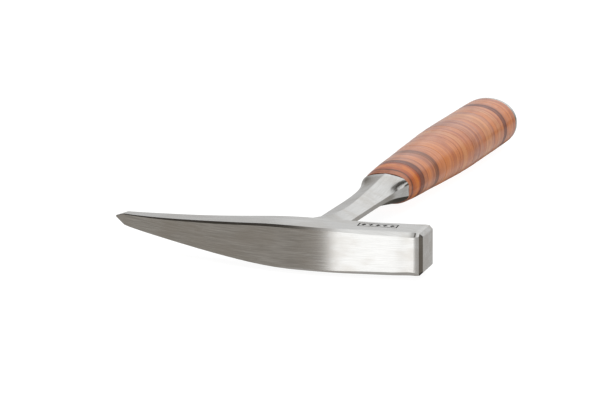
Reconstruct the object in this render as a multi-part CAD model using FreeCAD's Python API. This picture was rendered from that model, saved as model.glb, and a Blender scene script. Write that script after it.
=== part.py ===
import FreeCAD, Part

import math
import os

# One-piece forged pick hammer with a stacked leather grip, lying on its side.
# Design axes: +X from the handle axis to the striking face, +Y down the handle to
# the butt, +Z up through the cheeks. All lengths are in millimetres.

# Head. Each station is (x, crown y, underside y, half thickness, edge chamfer, lean).
# Lean is how far the section plane tips towards -X for each millimetre of y.
HEAD_STATIONS = (
    (-104.6, 17.7, 23.5, 3.00, 0.40, 0.000),
    (-97.0, 13.8, 21.5, 3.70, 0.50, 0.000),
    (-87.0, 9.7, 19.2, 4.55, 0.62, 0.000),
    (-73.9, 5.0, 16.3, 5.75, 0.80, 0.000),
    (-54.8, -0.9, 12.3, 7.60, 1.00, 0.000),
    (-36.8, -5.4, 10.4, 9.30, 1.12, 0.000),
    (-27.8, -7.1, 10.0, 10.10, 1.10, 0.000),
    (-19.8, -8.3, 10.1, 10.75, 1.15, 0.000),
    (-11.8, -9.3, 10.4, 11.20, 1.20, 0.000),
    (-3.8, -9.9, 10.7, 11.40, 1.20, 0.000),
    (4.2, -10.1, 11.0, 11.45, 1.20, 0.000),
    (14.2, -9.9, 11.1, 11.45, 1.20, 0.000),
    (24.2, -9.1, 11.3, 11.50, 1.40, 0.015),
    (34.2, -7.7, 11.8, 11.50, 1.80, 0.035),
    (44.2, -6.3, 13.4, 11.45, 1.95, 0.064),
    (53.2, -5.0, 15.7, 11.30, 2.05, 0.064),
    (61.4, -3.7, 17.7, 11.20, 2.10, 0.064),
)
TIP = (-111.3, 23.1, 23.9, 0.40, 0.12, 0.0)
UNDERSIDE_EDGE = 0.5
# The body rolls in towards the face: each step is (distance, depth, edge chamfer).
FACE_RELIEF = ((0.8, 0.05, 1.85), (1.6, 0.15, 1.60), (2.5, 0.30, 1.30))
FACE_CHAMFER = 1.65
FACE_EDGE = 0.5

# Stamped mark on the upper cheek of the poll: a plain frame round a row of diamonds.
MARK_CENTRE = (39.7, 5.8)
MARK_ANGLE = 6.0
MARK_LENGTH = 20.6
MARK_WIDTH = 6.4
MARK_LINE = 0.7
MARK_FLOOR = 11.20
DIAMOND_COUNT = 5
DIAMOND_PITCH = 3.7
DIAMOND_HALF_LENGTH = 1.4
DIAMOND_HALF_WIDTH = 1.7

# Handle steel. Each section is (y, half width, height of the central ridge, half of the
# trimmed side flat, fullness of the flank: 0 is flat and 1 is well rounded).
HANDLE_SECTIONS = (
    (5.0, 16.5, 10.8, 6.0, 0.60),
    (11.5, 14.2, 10.4, 4.8, 0.50),
    (18.0, 11.6, 9.4, 3.2, 0.30),
    (27.0, 9.9, 7.9, 1.9, 0.15),
    (37.0, 9.2, 6.2, 1.35, 0.05),
    (48.0, 9.0, 4.5, 1.20, 0.00),
    (60.0, 9.0, 3.6, 1.20, 0.00),
    (74.0, 9.0, 3.5, 1.20, 0.00),
    (87.0, 9.0, 4.3, 1.20, 0.05),
    (98.0, 9.2, 5.2, 1.25, 0.08),
    (107.5, 9.55, 6.1, 1.45, 0.20),
    (114.0, 10.05, 6.9, 1.80, 0.36),
    (120.5, 11.3, 7.65, 2.35, 0.58),
    (127.3, 13.1, 8.2, 3.00, 0.76),
)
TANG_WIDTH = 12.0
TANG_THICKNESS = 6.6
TANG_CLEARANCE = 0.15

# Grip. The profile is (y, half width, half thickness) of the turned leather stack.
GRIP_START = 127.3
GRIP_END = 297.0
RING_COUNT = 32
GRIP_PROFILE = (
    (127.3, 13.25, 8.35),
    (130.0, 13.5, 9.0),
    (133.0, 13.8, 9.7),
    (138.5, 14.2, 10.4),
    (145.0, 14.6, 10.8),
    (155.0, 15.05, 11.15),
    (165.0, 15.4, 11.5),
    (178.0, 15.9, 12.0),
    (190.0, 16.35, 12.5),
    (203.0, 16.8, 13.0),
    (215.0, 17.2, 13.45),
    (228.0, 17.3, 13.7),
    (245.0, 17.2, 13.75),
    (265.0, 16.95, 13.75),
    (297.0, 16.6, 13.7),
)
# The outline starts squarer, flush with the bolster, and soon becomes a plain oval.
SQUARE_START = 2.45
ROUNDNESS = 2.12
ROUND_FROM = 138.5
GRIP_POINTS = 24

# Butt plate and the peened end of the tang.
PLATE_THICKNESS = 4.0
PLATE_HALF_WIDTH = 16.2
PLATE_HALF_THICKNESS = 13.3
PLATE_EDGE = 1.0
PEEN_HALF_WIDTH = 8.2
PEEN_HALF_THICKNESS = 5.2
PEEN_HEIGHT = 2.2

# The row's origin, in the design axes: under the middle of the object's box.
ORIGIN = FreeCAD.Vector(-22.60, 146.55, -13.75)


def vec(x, y, z):
    return FreeCAD.Vector(x, y, z)


def closed_polygon(points):
    return Part.makePolygon(list(points) + [points[0]])


def head_section(station, inset=0.0):
    """Chamfered rectangle across the head; inset draws its sides in."""
    x, crown, under, half, edge, lean = station
    middle = (crown + under) / 2
    low = crown + inset
    high = under - inset * UNDERSIDE_EDGE
    top = half - inset
    back = edge * UNDERSIDE_EDGE
    corners = (
        (low + edge, top), (high - back, top), (high, top - back), (high, back - top),
        (high - back, -top), (low + edge, -top), (low, edge - top), (low, top - edge),
    )
    return closed_polygon([vec(x - lean * (y - middle), y, z) for y, z in corners])


def moved_station(station, dx, slope, edge):
    """Copies a station further along +X, following the poll's slope."""
    x, crown, under, half, _, lean = station
    return (x + dx, crown + slope * dx, under + slope * dx, half, edge, lean)


def head():
    """Arched head: bevelled pick point, smooth body, relieved and chamfered face."""
    body = Part.makeLoft([head_section(s) for s in HEAD_STATIONS], True, False)
    tip = Part.makeLoft([head_section(TIP), head_section(HEAD_STATIONS[0])], True, True)
    last = HEAD_STATIONS[-1]
    before = HEAD_STATIONS[-2]
    slope = (last[1] - before[1]) / (last[0] - before[0])
    rolled = [head_section(last)]
    for distance, depth, edge in FACE_RELIEF:
        relieved = moved_station(last, distance, slope, edge)
        rolled.append(head_section(relieved, depth))
    relief = Part.makeLoft(rolled, True, True)
    face = moved_station(relieved, FACE_CHAMFER, slope, FACE_EDGE)
    chamfer = Part.makeLoft([rolled[-1], head_section(face, depth + FACE_CHAMFER)], True, True)
    return body.fuse([tip, relief, chamfer])


def stamped_mark():
    """Cutter that sinks the frame and the diamonds into the upper cheek."""
    rise = 2.0
    long = MARK_LENGTH / 2
    wide = MARK_WIDTH / 2
    outer = Part.makeBox(MARK_LENGTH, MARK_WIDTH, rise, vec(-long, -wide, 0))
    long -= MARK_LINE
    wide -= MARK_LINE
    cutter = outer.cut(Part.makeBox(2 * long, 2 * wide, rise, vec(-long, -wide, 0)))
    for index in range(DIAMOND_COUNT):
        x = (index - (DIAMOND_COUNT - 1) / 2) * DIAMOND_PITCH
        corners = ((x - DIAMOND_HALF_LENGTH, 0), (x, -DIAMOND_HALF_WIDTH),
                   (x + DIAMOND_HALF_LENGTH, 0), (x, DIAMOND_HALF_WIDTH))
        face = Part.Face(closed_polygon([vec(a, b, 0) for a, b in corners]))
        cutter = cutter.fuse(face.extrude(vec(0, 0, rise)))
    cutter.rotate(vec(0, 0, 0), vec(0, 0, 1), MARK_ANGLE)
    return cutter.translated(vec(*MARK_CENTRE, MARK_FLOOR))


def flank(y, start, end, fullness, corner):
    """Curve from start to end in the plane at y, pulled towards corner by fullness."""
    middle = ((start[0] + end[0]) / 2, (start[1] + end[1]) / 2)
    pull = [m + fullness * (c - m) for m, c in zip(middle, corner)]
    curve = Part.BezierCurve()
    curve.setPoles([vec(x, y, z) for x, z in (start, pull, end)])
    return curve.toShape()


def handle_section(section):
    """Ridged section across the handle steel, with a trimmed flat on each side."""
    y, wide, ridge, side, full = section
    top = (0, ridge)
    bottom = (0, -ridge)
    edges = [
        flank(y, top, (-wide, side), full, (-wide, ridge)),
        Part.makeLine(vec(-wide, y, side), vec(-wide, y, -side)),
        flank(y, (-wide, -side), bottom, full, (-wide, -ridge)),
        flank(y, bottom, (wide, -side), full, (wide, -ridge)),
        Part.makeLine(vec(wide, y, -side), vec(wide, y, side)),
        flank(y, (wide, side), top, full, (wide, ridge)),
    ]
    return Part.Wire(edges)


def handle_steel():
    """Neck, ridged shank and bolster, with the tang and its peened end."""
    shank = Part.makeLoft([handle_section(s) for s in HANDLE_SECTIONS], True, False)
    plate_end = GRIP_END + PLATE_THICKNESS
    corner = vec(-TANG_WIDTH / 2, GRIP_START, -TANG_THICKNESS / 2)
    tang = Part.makeBox(TANG_WIDTH, plate_end - GRIP_START, TANG_THICKNESS, corner)
    return shank.fuse([tang, peened_end(plate_end)])


def peened_end(y):
    """Low oval button hammered over the end of the tang."""
    base = oval(y, PEEN_HALF_WIDTH, PEEN_HALF_THICKNESS)
    waist = oval(y + PEEN_HEIGHT * 0.55, PEEN_HALF_WIDTH * 0.93, PEEN_HALF_THICKNESS * 0.9)
    crown = oval(y + PEEN_HEIGHT, PEEN_HALF_WIDTH * 0.62, PEEN_HALF_THICKNESS * 0.5)
    return Part.makeLoft([base, waist, crown], True, True)


def forging():
    """Head and handle steel as one drop forging."""
    return head().fuse(handle_steel()).removeSplitter().cut(stamped_mark())


def grip_roundness(y):
    """Exponent of the oval at y: 2 is an ellipse, and more is squarer."""
    part = min(max((y - GRIP_START) / (ROUND_FROM - GRIP_START), 0), 1)
    return SQUARE_START + part * (ROUNDNESS - SQUARE_START)


def oval(y, half_width, half_thickness):
    """Closed smooth oval in a plane across the handle."""
    power = 2 / grip_roundness(y)
    points = []
    for index in range(GRIP_POINTS):
        angle = 2 * math.pi * index / GRIP_POINTS
        cosine = math.cos(angle)
        sine = math.sin(angle)
        x = half_width * math.copysign(abs(cosine) ** power, cosine)
        z = half_thickness * math.copysign(abs(sine) ** power, sine)
        points.append(vec(x, y, z))
    curve = Part.BSplineCurve()
    curve.interpolate(Points=points, PeriodicFlag=True)
    return Part.Wire([curve.toShape()])


def grip_size(y):
    """Half width and half thickness of the grip at y."""
    for low, high in zip(GRIP_PROFILE, GRIP_PROFILE[1:]):
        if y <= high[0] + 1e-6:
            part = (y - low[0]) / (high[0] - low[0])
            wide = low[1] + part * (high[1] - low[1])
            thick = low[2] + part * (high[2] - low[2])
            return wide, thick
    return GRIP_PROFILE[-1][1:]


def tang_slot(start, end):
    """Cutter for the slot that the tang passes through."""
    width = TANG_WIDTH + 2 * TANG_CLEARANCE
    thickness = TANG_THICKNESS + 2 * TANG_CLEARANCE
    corner = vec(-width / 2, start - 1, -thickness / 2)
    return Part.makeBox(width, end - start + 2, thickness, corner)


def leather_ring(index):
    """One leather washer, cut to the grip's outline, with its tang slot."""
    pitch = (GRIP_END - GRIP_START) / RING_COUNT
    start = GRIP_START + pitch * index
    end = start + pitch
    levels = [start] + [p[0] for p in GRIP_PROFILE if start + 0.2 < p[0] < end - 0.2] + [end]
    wires = [oval(y, *grip_size(y)) for y in levels]
    return Part.makeLoft(wires, True, True).cut(tang_slot(start, end))


def butt_plate():
    """Oval steel plate with eased edges that closes the stack."""
    start = GRIP_END
    end = GRIP_END + PLATE_THICKNESS
    small = (PLATE_HALF_WIDTH - PLATE_EDGE, PLATE_HALF_THICKNESS - PLATE_EDGE)
    wires = [
        oval(start, PLATE_HALF_WIDTH, PLATE_HALF_THICKNESS),
        oval(end - PLATE_EDGE, PLATE_HALF_WIDTH, PLATE_HALF_THICKNESS),
        oval(end, *small),
    ]
    return Part.makeLoft(wires, True, True).cut(tang_slot(start, end))


def export(name, shape):
    solid = shape.Solids[0] if len(shape.Solids) == 1 else shape
    placed = solid.translated(ORIGIN * -1)
    placed.exportStep("parts/" + name + ".step")


def main():
    os.makedirs("parts", exist_ok=True)
    export("forging", forging())
    for index in range(RING_COUNT):
        export("leather_ring_%02d" % (index + 1), leather_ring(index))
    export("butt_plate", butt_plate())


main()
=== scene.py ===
import math
import random

import bmesh
import bpy
from mathutils import Matrix, Vector


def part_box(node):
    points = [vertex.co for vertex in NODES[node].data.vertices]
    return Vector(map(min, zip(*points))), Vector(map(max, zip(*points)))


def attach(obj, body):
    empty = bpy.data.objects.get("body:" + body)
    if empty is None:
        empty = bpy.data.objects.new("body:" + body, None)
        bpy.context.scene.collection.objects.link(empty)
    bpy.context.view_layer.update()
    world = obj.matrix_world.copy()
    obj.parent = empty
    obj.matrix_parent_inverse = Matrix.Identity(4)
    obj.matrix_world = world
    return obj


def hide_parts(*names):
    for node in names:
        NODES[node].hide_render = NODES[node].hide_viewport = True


# Looks of a forged pick hammer with a stacked leather grip. All lengths are in metres,
# in the CAD frame: +X towards the striking face, +Y down the handle, +Z up.

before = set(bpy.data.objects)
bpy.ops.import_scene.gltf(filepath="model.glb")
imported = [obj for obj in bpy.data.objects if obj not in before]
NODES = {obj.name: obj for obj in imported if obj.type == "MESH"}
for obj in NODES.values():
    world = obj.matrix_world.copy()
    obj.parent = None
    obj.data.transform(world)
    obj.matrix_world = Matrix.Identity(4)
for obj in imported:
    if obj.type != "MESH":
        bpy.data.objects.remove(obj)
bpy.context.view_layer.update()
RING_NAMES = sorted(name for name in NODES if name.startswith("leather_ring_"))
MM = 0.001

# ---------------------------------------------------------------- camera

AIM = Vector((-0.02814, -0.01360, 0.00205))
CAMERA_DISTANCE = 2.68175
CAMERA_AZIMUTH = math.radians(20.792)
CAMERA_ELEVATION = math.radians(13.614)
CAMERA_ROLL = math.radians(-0.291)
CAMERA_LENS = 300.3
SENSOR_WIDTH = 36.0
FAR_CLIP = 20.0


def add_camera():
    """Long lens, looking down the handle from the striking-face side."""
    a, e, r = CAMERA_AZIMUTH, CAMERA_ELEVATION, CAMERA_ROLL
    forward = Vector((-math.sin(a) * math.cos(e), math.cos(a) * math.cos(e), -math.sin(e)))
    level = Vector((math.cos(a), math.sin(a), 0.0))
    raised = level.cross(forward)
    right = level * math.cos(r) + raised * math.sin(r)
    up = raised * math.cos(r) - level * math.sin(r)
    data = bpy.data.cameras.new("camera")
    data.lens = CAMERA_LENS
    data.sensor_width = SENSOR_WIDTH
    data.clip_end = FAR_CLIP
    camera = bpy.data.objects.new("camera", data)
    bpy.context.scene.collection.objects.link(camera)
    turn = Matrix((right, up, -forward)).transposed().to_4x4()
    camera.matrix_world = Matrix.Translation(AIM - forward * CAMERA_DISTANCE) @ turn
    bpy.context.scene.camera = camera


# ---------------------------------------------------------------- node helpers

class Graph:
    """Short calls for building a node tree."""

    def __init__(self, tree):
        self.tree = tree
        tree.nodes.clear()

    def add(self, kind, inputs=None, **settings):
        made = self.tree.nodes.new(kind)
        for key, value in settings.items():
            setattr(made, key, value)
        for key, value in (inputs or {}).items():
            self.plug(made.inputs[key], value)
        return made

    def plug(self, socket, value):
        if isinstance(value, bpy.types.NodeSocket):
            self.tree.links.new(value, socket)
        else:
            socket.default_value = value

    def math(self, operation, a, b=0.0, c=0.0):
        made = self.add("ShaderNodeMath", {0: a, 1: b, 2: c}, operation=operation)
        return made.outputs[0]

    def vector(self, operation, a, b=(0.0, 0.0, 0.0), output=0):
        made = self.add("ShaderNodeVectorMath", {0: a, 1: b}, operation=operation)
        return made.outputs[output]

    def dot(self, a, b):
        return self.vector("DOT_PRODUCT", a, b, output="Value")

    def ramp(self, value, low, high, start=0.0, end=1.0):
        """Smooth step from start at low to end at high, clamped."""
        sockets = {"Value": value, "From Min": low, "From Max": high, "To Min": start, "To Max": end}
        return self.add("ShaderNodeMapRange", sockets, interpolation_type="SMOOTHSTEP").outputs[0]

    def blend(self, factor, a, b):
        """Number between a and b."""
        return self.add("ShaderNodeMix", {0: factor, 2: a, 3: b}).outputs[0]

    def mix(self, factor, a, b):
        """Colour between a and b."""
        return self.add("ShaderNodeMix", {0: factor, 6: a, 7: b}, data_type="RGBA").outputs[2]

    def noise(self, vector, scale, detail=3.0, rough=0.5):
        sockets = {"Vector": vector, "Scale": scale, "Detail": detail, "Roughness": rough}
        return self.add("ShaderNodeTexNoise", sockets).outputs["Fac"]


def rgb(red, green, blue):
    """Linear colour from the usual 0 to 255 values."""
    def linear(value):
        value /= 255
        return value / 12.92 if value <= 0.04045 else ((value + 0.055) / 1.055) ** 2.4
    return (linear(red), linear(green), linear(blue), 1.0)


# ---------------------------------------------------------------- studio

def heading(azimuth, elevation):
    """Unit vector: azimuth from +Y towards +X, elevation above the horizon, in degrees."""
    a, e = math.radians(azimuth), math.radians(elevation)
    return (math.sin(a) * math.cos(e), math.cos(a) * math.cos(e), math.sin(e))


# Soft panels of the studio: heading of the centre, half width and half height in degrees,
# softness of the upright and of the level edges as a share of the half size, brightness.
PANELS = (
    (135, 69, 26, 26, 0.35, 0.35, 1.35),
    (-1.5, 20, 25.5, 22, 0.10, 0.25, 0.70),
    (-1.5, 42, 17.5, 24, 0.12, 0.30, 1.10),
    (-1.5, 26, 22, 11, 0.12, 0.30, 1.05),
    (-19, 8, 17, 20, 0.50, 0.30, 0.66),
    (-27, -3, 12, 12, 0.30, 0.30, 0.68),
    (9, -16.5, 14, 10, 0.40, 0.30, 0.60),
    (183.7, -14, 8.4, 26, 0.26, 0.30, 1.70),
    (165, -14, 25, 26, 0.50, 0.50, 0.60),
    (150, 26, 30, 18, 0.50, 0.50, 0.70),
    (244, -14, 50, 26, 0.12, 0.12, 0.38),
    (50, 30.5, 10, 5, 0.30, 0.30, 1.25),
    (27, -1, 8, 14, 0.50, 0.50, 0.36),
    (45, -15, 15, 9, 0.40, 0.30, 0.66),
    (97, -14, 14, 14, 0.50, 0.50, 0.21),
    (-48, -50, 22, 22, 0.30, 0.30, 0.35),
    (-45, -75, 14, 14, 0.30, 0.30, 0.55),
)
# Brightness of the rest of the room near the horizon, and well above or below it.
ROOM_LEVEL = 0.14
ROOM_STEEP = 0.07
STUDIO_WARM = (1.0, 0.905, 0.79, 1.0)
BACKDROP = (0.93, 0.93, 0.93, 1.0)
PAPER_TONES = ((0.15, 0.15, 0.15, 1.0), (0.18, 0.18, 0.18, 1.0))
PAPER_GLOW = 0.94
FLOOR_HALF_WIDTH = 6.0
FLOOR_FRONT = -5.0
FLOOR_BEND = 3.0
FLOOR_RADIUS = 2.0
FLOOR_TOP = 4.0


def panel(g, way, azimuth, elevation, half_width, half_height, soft_upright, soft_level):
    """How much of a ray heading way lands on a flat soft-edged panel."""
    centre = Vector(heading(azimuth, elevation))
    side = Vector(heading(azimuth + 90, 0))
    up = side.cross(centre)
    ahead = g.math("MAXIMUM", g.dot(way, centre), 1e-4)
    share = g.math("GREATER_THAN", g.dot(way, centre), 0.02)
    for direction, half, soft in ((side, half_width, soft_upright), (up, half_height, soft_level)):
        offset = g.math("DIVIDE", g.math("ABSOLUTE", g.dot(way, direction)), ahead)
        reach = math.tan(math.radians(half))
        share = g.math("MULTIPLY", share, g.ramp(offset, reach * (1 - soft), reach * (1 + soft), 1.0, 0.0))
    return share


def add_world():
    """A dim room with soft bright panels; only reflections and fill light see it."""
    world = bpy.data.worlds.new("studio")
    bpy.context.scene.world = world
    world.use_nodes = True
    g = Graph(world.node_tree)
    way = g.vector("NORMALIZE", g.add("ShaderNodeTexCoord").outputs["Generated"])
    height = g.math("ABSOLUTE", g.add("ShaderNodeSeparateXYZ", {0: way}).outputs["Z"])
    light = g.ramp(height, 0.3, 0.6, ROOM_LEVEL, ROOM_STEEP)
    for *window, strength in PANELS:
        light = g.math("MAXIMUM", light, g.math("MULTIPLY", panel(g, way, *window), strength))
    colour = g.mix(g.ramp(light, 0.2, 0.75), STUDIO_WARM, (1.0, 1.0, 1.0, 1.0))
    room = g.add("ShaderNodeBackground", {"Color": colour, "Strength": light})
    seen = g.add("ShaderNodeBackground", {"Color": BACKDROP, "Strength": 1.0})
    direct = g.add("ShaderNodeLightPath").outputs["Is Camera Ray"]
    pick = g.add("ShaderNodeMixShader", {0: direct, 1: room.outputs[0], 2: seen.outputs[0]})
    g.add("ShaderNodeOutputWorld", {"Surface": pick.outputs[0]})


# Soft lamps: name, place, width and power in watts. They light without showing in the steel.
LAMPS = (
    ("overhead", (0.0, 0.2, 1.8), 2.4, 22.0),
    ("front", (0.9, -2.0, 1.6), 1.4, 9.0),
    ("side", (1.9, -0.9, 0.35), 0.9, 4.5),
)


def add_lamp(name, place, size, power):
    """Square lamp that points at the middle of the object."""
    data = bpy.data.lights.new(name, "AREA")
    data.shape = "SQUARE"
    data.size = size
    data.energy = power
    lamp = bpy.data.objects.new(name, data)
    bpy.context.scene.collection.objects.link(lamp)
    lamp.location = place
    lamp.rotation_euler = (-Vector(place)).to_track_quat("-Z", "Y").to_euler()
    lamp.visible_glossy = False


def add_floor():
    """Plain pale table, curved up far behind the object."""
    bm = bmesh.new()
    rows = [(FLOOR_FRONT, 0.0), (FLOOR_BEND, 0.0)]
    steps = 16
    for step in range(1, steps + 1):
        angle = math.pi / 2 * step / steps
        y = FLOOR_BEND + FLOOR_RADIUS * math.sin(angle)
        rows.append((y, FLOOR_RADIUS - FLOOR_RADIUS * math.cos(angle)))
    rows.append((FLOOR_BEND + FLOOR_RADIUS, FLOOR_TOP))
    left = [bm.verts.new((-FLOOR_HALF_WIDTH, y, z)) for y, z in rows]
    right = [bm.verts.new((FLOOR_HALF_WIDTH, y, z)) for y, z in rows]
    for k in range(len(rows) - 1):
        bm.faces.new((left[k], right[k], right[k + 1], left[k + 1])).smooth = True
    mesh = bpy.data.meshes.new("studio_floor")
    bm.to_mesh(mesh)
    bm.free()
    floor = bpy.data.objects.new("studio_floor", mesh)
    bpy.context.scene.collection.objects.link(floor)
    material = bpy.data.materials.new("studio_paper")
    material.use_nodes = True
    g = Graph(material.node_tree)
    place = g.add("ShaderNodeTexCoord").outputs["Object"]
    grain = g.ramp(g.noise(place, 900.0, 2.0), 0.3, 0.7, 0.0, 1.0)
    colour = g.mix(grain, *PAPER_TONES)
    shader = g.add("ShaderNodeBsdfPrincipled", {"Base Color": colour, "Roughness": 0.9})
    shader.inputs["Emission Color"].default_value = (1.0, 1.0, 1.0, 1.0)
    shader.inputs["Emission Strength"].default_value = PAPER_GLOW
    shader.inputs["Specular IOR Level"].default_value = 0.0
    g.add("ShaderNodeOutputMaterial", {"Surface": shader.outputs[0]})
    mesh.materials.append(material)
    floor.visible_glossy = False


# ---------------------------------------------------------------- materials

HEAD_END = -126.5 * MM
HEAD_BLEND = 3 * MM
# The poll is ground finer than the pick, starting over this stretch of X.
POLL_RANGE = (28 * MM, 46 * MM)
# Grinding lines: noise cells per metre along and across them.
FINE_LINES = (70.0, 2400.0)
BROAD_LINES = (32.0, 520.0)
STEEL_DULL = (0.50, 0.495, 0.48, 1.0)
STEEL_BRIGHT = (0.69, 0.69, 0.68, 1.0)
STEEL_EVEN = (0.60, 0.60, 0.59, 1.0)
STEEL_STAIN = (0.52, 0.495, 0.46, 1.0)
STAIN_CELLS = (40.0, 90.0, 90.0)
# The stamped mark on the upper cheek, where its floor lies deeper than the cheek.
MARK_CENTRE = (62.3 * MM, -140.75 * MM)
MARK_ANGLE = math.radians(6.0)
MARK_HALF = (10.4 * MM, 3.3 * MM)
MARK_LEVEL = 24.98 * MM
MARK_DIRT = (0.055, 0.05, 0.048, 1.0)


def bright_steel(name, mark=False):
    """Ground steel: lines along each limb, fainter on the poll and shank, and faint stains."""
    material = bpy.data.materials.new(name)
    material.use_nodes = True
    g = Graph(material.node_tree)
    place = g.add("ShaderNodeTexCoord").outputs["Object"]
    axes = g.add("ShaderNodeSeparateXYZ", {0: place})
    on_shank = g.ramp(axes.outputs["Y"], HEAD_END - HEAD_BLEND, HEAD_END + HEAD_BLEND)
    fine = grinding_lines(g, axes, on_shank, *FINE_LINES)
    broad = grinding_lines(g, axes, on_shank, *BROAD_LINES)
    lines = g.math("MULTIPLY_ADD", fine, 0.7, g.math("MULTIPLY", broad, 0.3))
    cloud = g.noise(g.vector("MULTIPLY", place, STAIN_CELLS), 1.0, 4.0, 0.6)
    contrast = g.mix(g.ramp(lines, 0.38, 0.62), STEEL_DULL, STEEL_BRIGHT)
    finer = g.math("MAXIMUM", on_shank, g.ramp(axes.outputs["X"], *POLL_RANGE))
    colour = g.mix(g.math("MULTIPLY", finer, 0.6), contrast, STEEL_EVEN)
    colour = g.mix(g.ramp(cloud, 0.42, 0.66, 0.0, 0.55), colour, STEEL_STAIN)
    rough = g.math("ADD", g.ramp(lines, 0.3, 0.7, 0.17, 0.22), g.ramp(cloud, 0.3, 0.75, -0.01, 0.03))
    if mark:
        colour, rough = marked(g, place, axes, colour, rough)
    tangent = g.mix(on_shank, (0.0, 1.0, 1.0, 1.0), (0.0, 1.0, 0.0, 1.0))
    depth = g.ramp(on_shank, 0.0, 1.0, 0.05, 0.02)
    bump = g.add("ShaderNodeBump", {"Strength": depth, "Distance": 0.00003, "Height": lines})
    shader = g.add("ShaderNodeBsdfPrincipled", {
        "Base Color": colour, "Roughness": rough, "Metallic": 1.0, "Anisotropic": 0.55,
        "Tangent": tangent, "Normal": bump.outputs[0]})
    g.add("ShaderNodeOutputMaterial", {"Surface": shader.outputs[0]})
    return material


def grinding_lines(g, axes, on_shank, along, across):
    """Streaks that follow X on the head and Y on the handle, whichever way a side faces."""
    facing = g.add("ShaderNodeSeparateXYZ", {0: g.add("ShaderNodeTexCoord").outputs["Normal"]})
    x, y, z = (axes.outputs[k] for k in range(3))
    sides = [g.math("ABSOLUTE", facing.outputs[k]) for k in range(3)]
    on_cheek = g.math("GREATER_THAN", sides[2], sides[1])
    on_edge = g.math("GREATER_THAN", sides[0], 0.8)
    width = g.blend(on_shank, g.blend(on_cheek, z, y), g.blend(on_edge, x, z))
    length = g.blend(on_shank, x, y)
    spot = g.add("ShaderNodeCombineXYZ", {0: length, 1: width})
    return g.noise(g.vector("MULTIPLY", spot.outputs[0], (along, across, 1.0)), 1.0, 3.0, 0.6)


def marked(g, place, axes, colour, rough):
    """Darkens the sunk floor of the stamped mark, where grinding dirt stays."""
    moved = g.vector("SUBTRACT", place, (MARK_CENTRE[0], MARK_CENTRE[1], 0.0))
    turned = g.add("ShaderNodeVectorRotate", {"Vector": moved, "Angle": -MARK_ANGLE},
                   rotation_type="Z_AXIS").outputs[0]
    parts = g.add("ShaderNodeSeparateXYZ", {0: turned})
    along = g.math("LESS_THAN", g.math("ABSOLUTE", parts.outputs["X"]), MARK_HALF[0])
    across = g.math("LESS_THAN", g.math("ABSOLUTE", parts.outputs["Y"]), MARK_HALF[1])
    sunk = g.ramp(axes.outputs["Z"], MARK_LEVEL, MARK_LEVEL + 0.1 * MM, 1.0, 0.0)
    above = g.math("GREATER_THAN", axes.outputs["Z"], MARK_LEVEL - 0.3 * MM)
    inside = g.math("MULTIPLY", g.math("MULTIPLY", along, across), g.math("MULTIPLY", sunk, above))
    colour = g.mix(inside, colour, MARK_DIRT)
    rough = g.math("MAXIMUM", rough, g.math("MULTIPLY", inside, 0.6))
    return colour, rough


# Base tones of the leather washers, each with its darker grain tone.
LEATHER = {
    "tan": (rgb(201, 123, 65), rgb(164, 83, 37)),
    "sand": (rgb(205, 134, 78), rgb(169, 97, 49)),
    "caramel": (rgb(204, 121, 52), rgb(163, 79, 26)),
    "fawn": (rgb(189, 118, 73), rgb(150, 79, 42)),
    "mauve": (rgb(192, 122, 80), rgb(150, 82, 54)),
    "orange": (rgb(194, 104, 12), rgb(152, 66, 4)),
    "amber": (rgb(198, 107, 20), rgb(156, 68, 8)),
    "russet": (rgb(171, 102, 64), rgb(126, 62, 36)),
    "brown": (rgb(158, 96, 54), rgb(120, 64, 34)),
    "plum": (rgb(132, 74, 50), rgb(99, 48, 34)),
}
# Tone of each washer from the bolster to the butt.
STACK = (
    "russet amber orange plum fawn tan fawn brown "
    "tan tan caramel tan tan tan tan sand "
    "tan tan fawn mauve mauve tan sand sand "
    "fawn caramel sand tan plum tan caramel tan"
).split()
# Colour of the dark joints between washers, and of the painted shade where the first washer meets the
# bolster.
JOINT_AND_SHADE_TONE = rgb(78, 36, 20)
# Dark washers took less lacquer.
THIN_COAT = {"plum": 0.36, "brown": 0.5, "russet": 0.5, "orange": 0.42, "amber": 0.45}
FULL_COAT = 0.70
# The grain goes from dark to light over this much noise each side of its middle value,
# and more sharply on the dark washers.
GRAIN_MIDDLE = 0.49
SHARP_GRAIN = 0.09
SOFT_GRAIN = 0.14
# Noise cells per metre along X, Y and Z. Much more along Y gives layers across the grip.
LAYER_CELLS = (22.0, 420.0, 22.0)
LINE_CELLS = (45.0, 1900.0, 45.0)
FIBRE_CELLS = (350.0, 2600.0, 350.0)
PATCH_CELLS = (75.0, 45.0, 75.0)


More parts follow.
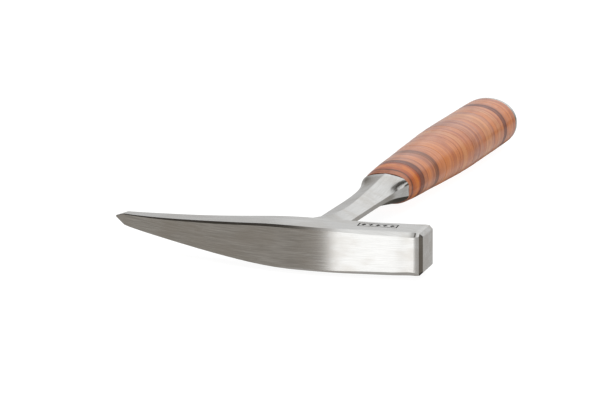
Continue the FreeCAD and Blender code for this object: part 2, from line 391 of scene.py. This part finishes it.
def leather(tone):
    """Edge of vegetable-tanned leather under clear lacquer, darker along the joints, with painted shade
    where the first washer meets the bolster.
    """
    base, dark = LEATHER[tone]
    coat = THIN_COAT.get(tone, FULL_COAT)
    spread = SHARP_GRAIN if tone in THIN_COAT else SOFT_GRAIN
    material = bpy.data.materials.new("lacquered_leather_" + tone)
    material.use_nodes = True
    g = Graph(material.node_tree)
    place = g.add("ShaderNodeTexCoord").outputs["Object"]
    layers = g.noise(g.vector("MULTIPLY", place, LAYER_CELLS), 1.0, 2.0, 0.5)
    lines = g.noise(g.vector("MULTIPLY", place, LINE_CELLS), 1.0, 3.0, 0.6)
    fibre = g.noise(g.vector("MULTIPLY", place, FIBRE_CELLS), 1.0, 4.0, 0.6)
    blotch = g.noise(place, 70.0, 3.0, 0.55)
    amount = g.math("ADD", g.math("MULTIPLY", layers, 0.40), g.math("MULTIPLY", lines, 0.35))
    amount = g.math("ADD", amount, g.math("MULTIPLY", blotch, 0.25))
    shade = g.add("ShaderNodeAttribute", attribute_name="shade").outputs["Fac"]
    grain = g.ramp(g.math("ADD", amount, shade), GRAIN_MIDDLE - spread, GRAIN_MIDDLE + spread)
    colour = g.mix(grain, dark, base)
    patches = g.noise(g.vector("MULTIPLY", place, PATCH_CELLS), 1.0, 4.0, 0.6)
    colour = g.mix(g.ramp(patches, 0.48, 0.70, 0.0, 0.6), colour, dark)
    # Darker along the joints between washers, plus painted shade where the first washer meets the bolster.
    joint_and_painted_shade = g.add("ShaderNodeAttribute", attribute_name="joint_and_painted_shade").outputs["Fac"]
    colour = g.mix(g.math("MULTIPLY", joint_and_painted_shade, g.ramp(blotch, 0.25, 0.7, 0.7, 1.0)), colour, JOINT_AND_SHADE_TONE)
    bump = g.add("ShaderNodeBump", {"Strength": 0.18, "Distance": 0.00008, "Height": fibre})
    soft = g.add("ShaderNodeBump", {"Strength": 0.08, "Distance": 0.0002, "Height": blotch})
    shader = g.add("ShaderNodeBsdfPrincipled", {
        "Base Color": colour, "Roughness": g.ramp(fibre, 0.3, 0.7, 0.42, 0.55),
        "Normal": bump.outputs[0], "Coat Normal": soft.outputs[0]})
    shader.inputs["Coat Weight"].default_value = coat
    shader.inputs["Coat Roughness"].default_value = 0.12
    shader.inputs["Coat IOR"].default_value = 1.5
    g.add("ShaderNodeOutputMaterial", {"Surface": shader.outputs[0]})
    return material


# ---------------------------------------------------------------- leather washers

AROUND = 112
# Exponent of the grip's oval: 2 is an ellipse, and more is squarer.
SQUARE_START = 2.45
ROUNDNESS = 2.12
GRIP_START = -19.25 * MM
ROUND_FROM = -8.05 * MM
TANG_HALF = (6.15 * MM, 3.45 * MM)
# Eased rim: distance from the washer's end and how far the surface lies in, in millimetres.
EASE = (
    (0.000, 0.035), (0.030, 0.016), (0.080, 0.006), (0.150, 0.002), (0.260, 0.0),
    (0.500, 0.0), (0.850, 0.0), (1.300, 0.0), (1.900, 0.0),
)
FLUSH_RANGE = 0.10 * MM
DENT_DEPTH = 0.02 * MM
SEAM_REACH = 0.22 * MM
SEAM_DARKEST = 0.40
# Painted shade: the first washer is darkened where it meets the bolster. It is also dark, over a longer
# stretch, where it meets the second washer.
BOLSTER_PAINTED_SHADE = {0: 0.7}
WIDE_SEAM = {0: 0.9 * MM}
WIDE_SEAM_DARK = 0.95
# Lighter (+) or darker (-) grain at the start and the end of some washers.
SHADES = {1: (-0.12, 0.06), 2: (0.12, -0.16), 3: (-0.04, 0.0), 4: (0.02, -0.08), 7: (0.0, -0.04)}


def end_sizes(node):
    """Centre and half sizes of a washer's two ends, measured on its CAD node."""
    low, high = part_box(node)
    centre = (low + high) / 2
    sizes = []
    for y in (low.y, high.y):
        rim = [v.co for v in NODES[node].data.vertices if abs(v.co.y - y) < 0.02 * MM]
        wide = max(abs(p.x - centre.x) for p in rim)
        thick = max(abs(p.z - centre.z) for p in rim)
        sizes.append((y, wide, thick))
    return centre, sizes


def oval_point(angle, y, wide, thick):
    """Point of the grip's outline at y; the first washers are a little squarer."""
    cosine, sine = math.cos(angle), math.sin(angle)
    share = min(max((y - GRIP_START) / (ROUND_FROM - GRIP_START), 0), 1)
    power = 2 / (SQUARE_START + share * (ROUNDNESS - SQUARE_START))
    x = wide * math.copysign(abs(cosine) ** power, cosine)
    z = thick * math.copysign(abs(sine) ** power, sine)
    return x, z


def slot_point(angle):
    """Where a ray at this angle leaves the tang slot."""
    cosine, sine = math.cos(angle), math.sin(angle)
    reach = min(TANG_HALF[0] / max(abs(cosine), 1e-9), TANG_HALF[1] / max(abs(sine), 1e-9))
    return reach * cosine, reach * sine


def washer(index, node, material):
    """Closed leather washer with eased rims, slightly uneven from sanding."""
    draw = random.Random(400 + index)
    centre, ((start, wide0, thick0), (end, wide1, thick1)) = end_sizes(node)
    depth = end - start
    flush = draw.uniform(0.0, 1.0) * FLUSH_RANGE
    phase = draw.uniform(0, 2 * math.pi)
    dark_start, dark_end = (SEAM_DARKEST * draw.random() ** 3 for _ in range(2))
    # The first washer's start gets painted shade at the bolster in place of a random dark joint.
    dark_start = BOLSTER_PAINTED_SHADE.get(index, dark_start)
    reach = WIDE_SEAM.get(index, SEAM_REACH)
    if index in WIDE_SEAM:
        dark_end = WIDE_SEAM_DARK
    shade_start, shade_end = SHADES.get(index, (draw.uniform(-0.05, 0.05), draw.uniform(-0.05, 0.05)))
    angles = [2 * math.pi * k / AROUND for k in range(AROUND)]
    rows = [(t * MM, inset * MM) for t, inset in EASE]
    rows = rows + [(depth / 2, 0.0)] + [(depth - t, inset) for t, inset in reversed(rows)]
    bm = bmesh.new()
    joint_and_painted_shade = bm.verts.layers.float.new("joint_and_painted_shade")
    shade = bm.verts.layers.float.new("shade")
    rings = []
    for offset, inset in rows:
        # Darkness near each end: dark joints, and painted shade where the first washer meets the bolster.
        joint_darkness_and_painted_shade = dark_start * math.exp(-offset / SEAM_REACH)
        joint_darkness_and_painted_shade = max(joint_darkness_and_painted_shade, dark_end * math.exp(-(max(depth - offset - reach, 0.0) / SEAM_REACH)))
        share = offset / depth
        wide = wide0 + (wide1 - wide0) * share - inset - flush
        thick = thick0 + (thick1 - thick0) * share - inset - flush
        loop = []
        for angle in angles:
            dent = DENT_DEPTH * (1 + math.sin(3 * angle + phase) * math.sin(2 * angle - phase))
            x, z = oval_point(angle, start + offset, wide - dent, thick - dent)
            point = bm.verts.new((centre.x + x, start + offset, centre.z + z))
            point[joint_and_painted_shade] = joint_darkness_and_painted_shade
            point[shade] = shade_start + (shade_end - shade_start) * share
            loop.append(point)
        rings.append(loop)
    for y in (end, start):
        rings.append([bm.verts.new((centre.x + x, y, centre.z + z)) for x, z in map(slot_point, angles)])
    for k, loop in enumerate(rings):
        following = rings[(k + 1) % len(rings)]
        for j in range(AROUND):
            n = (j + 1) % AROUND
            face = bm.faces.new((loop[j], loop[n], following[n], following[j]))
            face.smooth = k < len(rows) - 1
    bmesh.ops.recalc_face_normals(bm, faces=bm.faces)
    mesh = bpy.data.meshes.new("leather_washer_%02d" % (index + 1))
    bm.to_mesh(mesh)
    bm.free()
    mesh.materials.append(material)
    piece = bpy.data.objects.new(mesh.name, mesh)
    bpy.context.scene.collection.objects.link(piece)
    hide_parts(node)
    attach(piece, "root")


def set_material(node, material):
    """Gives a CAD node another material and leaves its mesh alone."""
    for holder in NODES[node].material_slots:
        holder.material = material


# ---------------------------------------------------------------- scene

add_camera()
add_world()
for lamp in LAMPS:
    add_lamp(*lamp)
add_floor()
bpy.context.scene.view_settings.view_transform = "Standard"

set_material("forging", bright_steel("ground_steel", mark=True))
set_material("butt_plate", bright_steel("plate_steel"))
TONES = {tone: leather(tone) for tone in LEATHER}
for number, ring in enumerate(RING_NAMES):
    washer(number, ring, TONES[STACK[number]])
